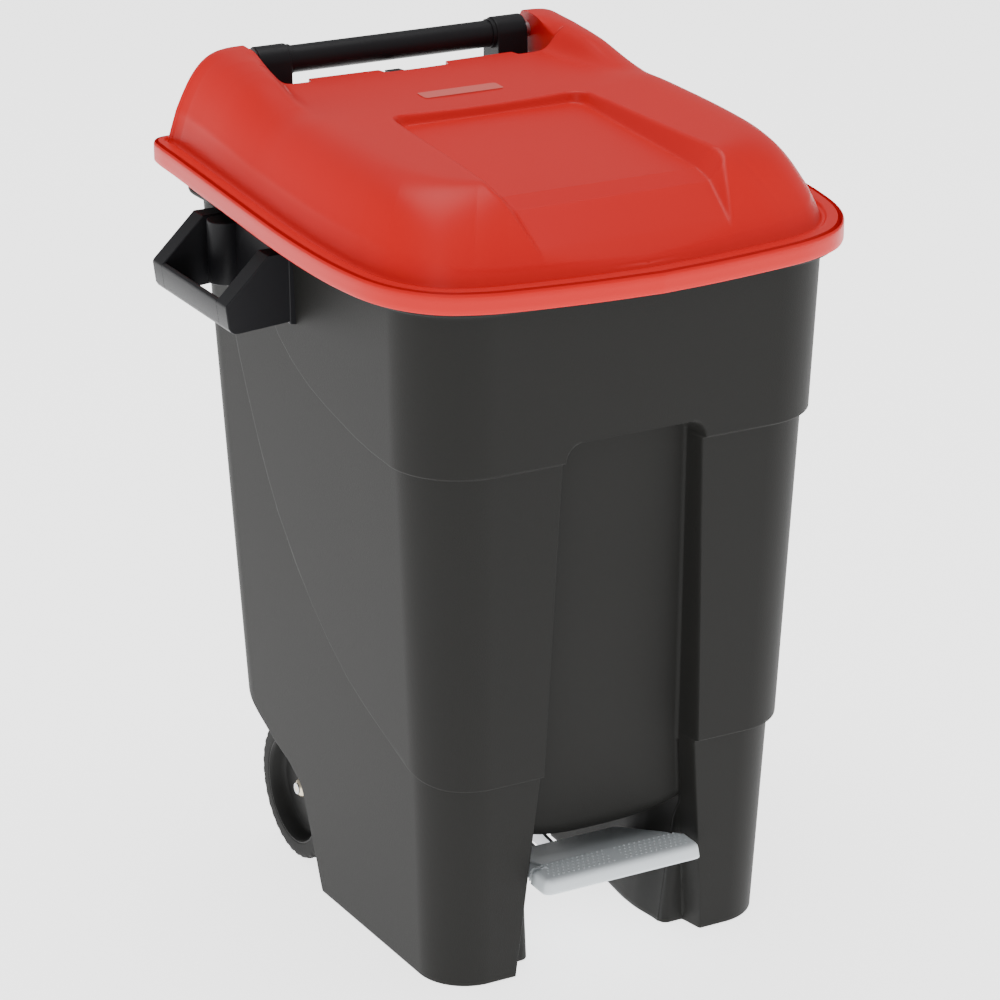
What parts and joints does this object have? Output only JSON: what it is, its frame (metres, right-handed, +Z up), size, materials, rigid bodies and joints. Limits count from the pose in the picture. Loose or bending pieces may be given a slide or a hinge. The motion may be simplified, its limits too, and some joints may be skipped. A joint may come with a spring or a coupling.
{
  "type": "pedal bin",
  "caption": "Large wheeled pedal bin: stepped tapered container, domed lid on a rear hinge, rear push bar, side handles and a foot pedal that lifts the lid by a push rod",
  "frame": {"origin": "on the floor, under the middle of the overall box", "axes": "+Z up, the pedal side faces -Y, +X to the right when seen from the pedal side"},
  "size_m": [0.6, 0.59, 0.846],
  "materials": {
    "body_plastic": "matte",
    "handle_plastic": "fine matte",
    "lid_plastic": "satin",
    "pedal_plastic": "satin",
    "wheel_plastic": "matte",
    "rubber": "matte",
    "zinc_steel": "zinc plated",
    "nickel_cap": "nickel plated",
    "bearing_plastic": "satin",
    "label": "satin"
  },
  "bodies": {
    "body": {"bin_body": "body_plastic", "hinge_tower_left": "handle_plastic", "hinge_tower_right": "handle_plastic", "push_bar": "handle_plastic", "bar_sleeve_left": "handle_plastic", "bar_sleeve_right": "handle_plastic", "side_handle_left": "handle_plastic", "side_handle_right": "handle_plastic", "handle_screw_front_left": "zinc_steel", "handle_screw_front_right": "zinc_steel", "handle_screw_back_left": "zinc_steel", "handle_screw_back_right": "zinc_steel", "axle": "zinc_steel", "axle_cap_left": "nickel_cap", "axle_cap_right": "nickel_cap", "axle_spacer_left": "bearing_plastic", "axle_spacer_right": "bearing_plastic", "pedal_shaft": "zinc_steel", "shaft_spacer_left": "bearing_plastic", "shaft_spacer_right": "bearing_plastic", "rod_guide_1": "bearing_plastic", "rod_guide_2": "bearing_plastic", "rod_guide_3": "bearing_plastic"},
    "lid": {"lid_shell": "lid_plastic", "lid_pin_left": "zinc_steel", "lid_pin_right": "zinc_steel", "lid_cam": "lid_plastic", "lid_bumper_left": "rubber", "lid_bumper_right": "rubber", "label_pad": "label"},
    "pedal": {"pedal_lever": "zinc_steel", "pedal_tread": "pedal_plastic"},
    "rod": {"push_rod": "zinc_steel", "rod_foot": "bearing_plastic", "rod_head": "bearing_plastic"},
    "wheel_left": {"wheel_centre_left": "wheel_plastic", "tyre_left": "rubber"},
    "wheel_right": {"wheel_centre_right": "wheel_plastic", "tyre_right": "rubber"}
  },
  "joints": [
    {"name": "lid_hinge", "type": "hinge", "parent": "body", "child": "lid", "pos_m": [0, 0.2575, 0.827], "axis": [-1, 0, 0], "range_deg": [0, 70]},
    {"name": "pedal_pivot", "type": "hinge", "parent": "body", "child": "pedal", "pos_m": [0, 0.04, 0.06], "axis": [1, 0, 0], "range_deg": [0, 10]},
    {"name": "rod_slide", "type": "slide", "parent": "body", "child": "rod", "axis": [0, 0, 1], "range_m": [0, 0.03322]},
    {"name": "wheel_left_spin", "type": "hinge", "parent": "body", "child": "wheel_left", "pos_m": [-0.162, 0.141, 0.075], "axis": [1, 0, 0], "continuous": true},
    {"name": "wheel_right_spin", "type": "hinge", "parent": "body", "child": "wheel_right", "pos_m": [0.162, 0.141, 0.075], "axis": [1, 0, 0], "continuous": true}
  ],
  "couplings": [
    {"joint": "pedal_pivot", "follows": "lid_hinge", "ratio": 0.14286},
    {"joint": "rod_slide", "follows": "lid_hinge", "m_per_rad": 0.027187}
  ]
}
